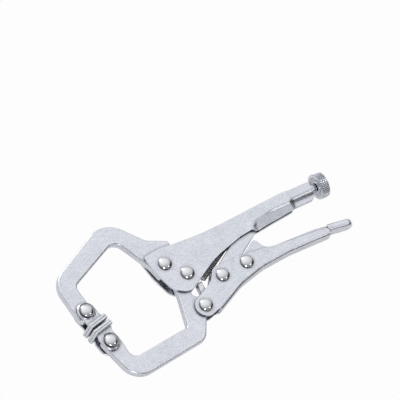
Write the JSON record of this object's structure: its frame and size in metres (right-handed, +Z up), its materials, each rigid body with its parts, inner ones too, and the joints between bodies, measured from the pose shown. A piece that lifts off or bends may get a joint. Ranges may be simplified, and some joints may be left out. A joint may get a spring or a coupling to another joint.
{
  "type": "locking pliers",
  "caption": "Locking C-clamp pliers with swivel pads, an over-centre toggle link, a release lever and an adjusting screw in the upper handle.",
  "frame": {"origin": "middle of the bounding box's underside, with the tool lying flat on its side", "axes": "+X from the jaws to the knob, along the adjusting screw; +Y from the lower handle to the upper one; +Z up, square to the jaws"},
  "size_m": [0.1768, 0.0874, 0.0148],
  "materials": {
    "satin_plate": "satin nickel plate, fine straight grain",
    "handle_plate": "satin nickel plate on pressed sheet",
    "rivet_plate": "bright nickel plate",
    "pad_plate": "satin nickel plate",
    "screw_plate": "nickel plate over a rolled thread",
    "knob_plate": "nickel plate over a diamond knurl",
    "spring_steel": "oiled spring wire"
  },
  "bodies": {
    "frame": {"upper_handle": "handle_plate", "fixed_jaw": "satin_plate", "fixed_jaw_rivet": "rivet_plate", "jaw_pivot_rivet": "rivet_plate", "fixed_pad_rivet": "rivet_plate", "return_spring": "spring_steel"},
    "movable_jaw": {"movable_jaw": "satin_plate", "movable_pad_rivet": "rivet_plate"},
    "lower_handle": {"lower_handle": "handle_plate", "handle_pivot_rivet": "rivet_plate", "link_rivet": "rivet_plate", "release_lever_rivet": "rivet_plate"},
    "toggle_link": {"toggle_link": "satin_plate"},
    "release_lever": {"release_lever": "handle_plate"},
    "adjusting_screw": {"adjusting_screw": "screw_plate"},
    "adjusting_knob": {"adjusting_knob": "knob_plate"},
    "fixed_pad": {"fixed_pad_clevis": "pad_plate", "fixed_pad_plate": "pad_plate"},
    "movable_pad": {"movable_pad_clevis": "pad_plate", "movable_pad_plate": "pad_plate"}
  },
  "joints": [
    {"name": "jaw_open", "type": "hinge", "parent": "frame", "child": "movable_jaw", "pos_m": [-0.01627, -0.00121, 0.0074], "axis": [0, 0, 1], "range_deg": [0, 21.6], "deforming": ["return_spring"]},
    {"name": "handle_open", "type": "hinge", "parent": "movable_jaw", "child": "lower_handle", "pos_m": [-0.01727, -0.02211, 0.0074], "axis": [0, 0, 1], "range_deg": [-58, 0]},
    {"name": "link_swing", "type": "hinge", "parent": "lower_handle", "child": "toggle_link", "pos_m": [0.00143, -0.01051, 0.0074], "axis": [0, 0, 1], "range_deg": [0, 60.7]},
    {"name": "release_lever_press", "type": "hinge", "parent": "lower_handle", "child": "release_lever", "pos_m": [0.01843, -0.00941, 0.0074], "axis": [0, 0, 1], "range_deg": [0, 3]},
    {"name": "screw_travel", "type": "slide", "parent": "frame", "child": "adjusting_screw", "axis": [1, 0, 0], "range_m": [0, 0.0119]},
    {"name": "knob_spin", "type": "hinge", "parent": "adjusting_screw", "child": "adjusting_knob", "pos_m": [0.08113, 0.01429, 0.0074], "axis": [1, 0, 0], "range_deg": [0, 3430]},
    {"name": "fixed_pad_swivel", "type": "hinge", "parent": "frame", "child": "fixed_pad", "pos_m": [-0.08137, 0.00269, 0.0074], "axis": [0, 0, 1], "range_deg": [-6, 6]},
    {"name": "movable_pad_swivel", "type": "hinge", "parent": "movable_jaw", "child": "movable_pad", "pos_m": [-0.07857, -0.01831, 0.0074], "axis": [0, 0, 1], "range_deg": [-6, 6]}
  ],
  "couplings": [
    {"joint": "jaw_open", "follows": "handle_open", "ratio": -0.372},
    {"joint": "link_swing", "follows": "handle_open", "ratio": -1.02},
    {"joint": "knob_spin", "follows": "screw_travel", "rad_per_m": 5026.5}
  ]
}
